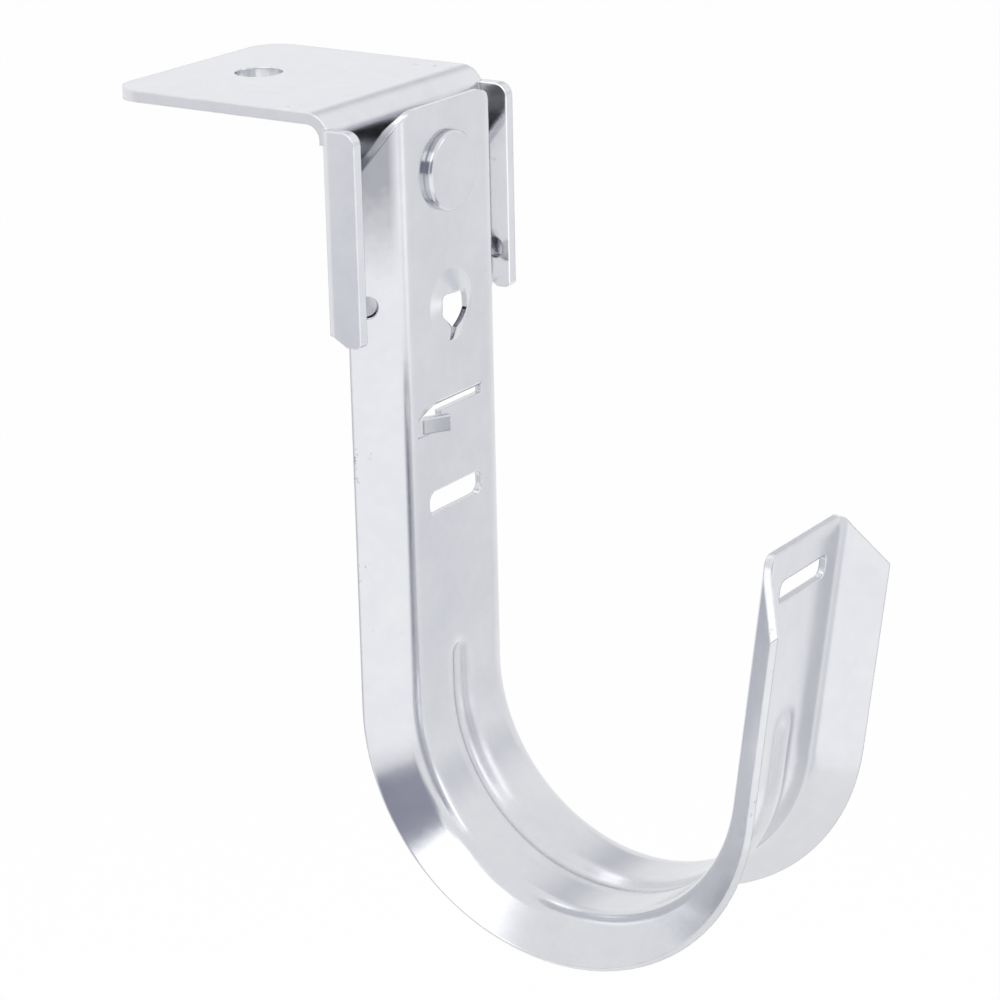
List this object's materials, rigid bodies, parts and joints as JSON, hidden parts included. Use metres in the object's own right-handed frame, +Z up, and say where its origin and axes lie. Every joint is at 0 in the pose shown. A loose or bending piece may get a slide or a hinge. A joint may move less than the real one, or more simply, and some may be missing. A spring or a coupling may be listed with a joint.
{
  "type": "j hook cable support",
  "caption": "Sheet-metal J hook for cable bundles: a folded channel strip bent to a wide loop with an open mouth, riveted under an angle bracket with one screw hole.",
  "frame": {"origin": "centre of the screw hole on the plate's upper face, the face that meets the ceiling", "axes": "+Z up, towards the ceiling; +X from the plate towards the hook's open mouth and tip; Y across the strip, the part being symmetric about Y = 0 but for a small tongue"},
  "size_m": [0.1042, 0.0378, 0.1169],
  "materials": {
    "hook_zinc": "bright galvanised sheet",
    "bracket_zinc": "bright galvanised sheet",
    "rivet_zinc": "zinc plated"
  },
  "bodies": {
    "root": {"j_hook": "hook_zinc", "angle_bracket": "bracket_zinc", "rivet": "rivet_zinc"}
  },
  "joints": []
}
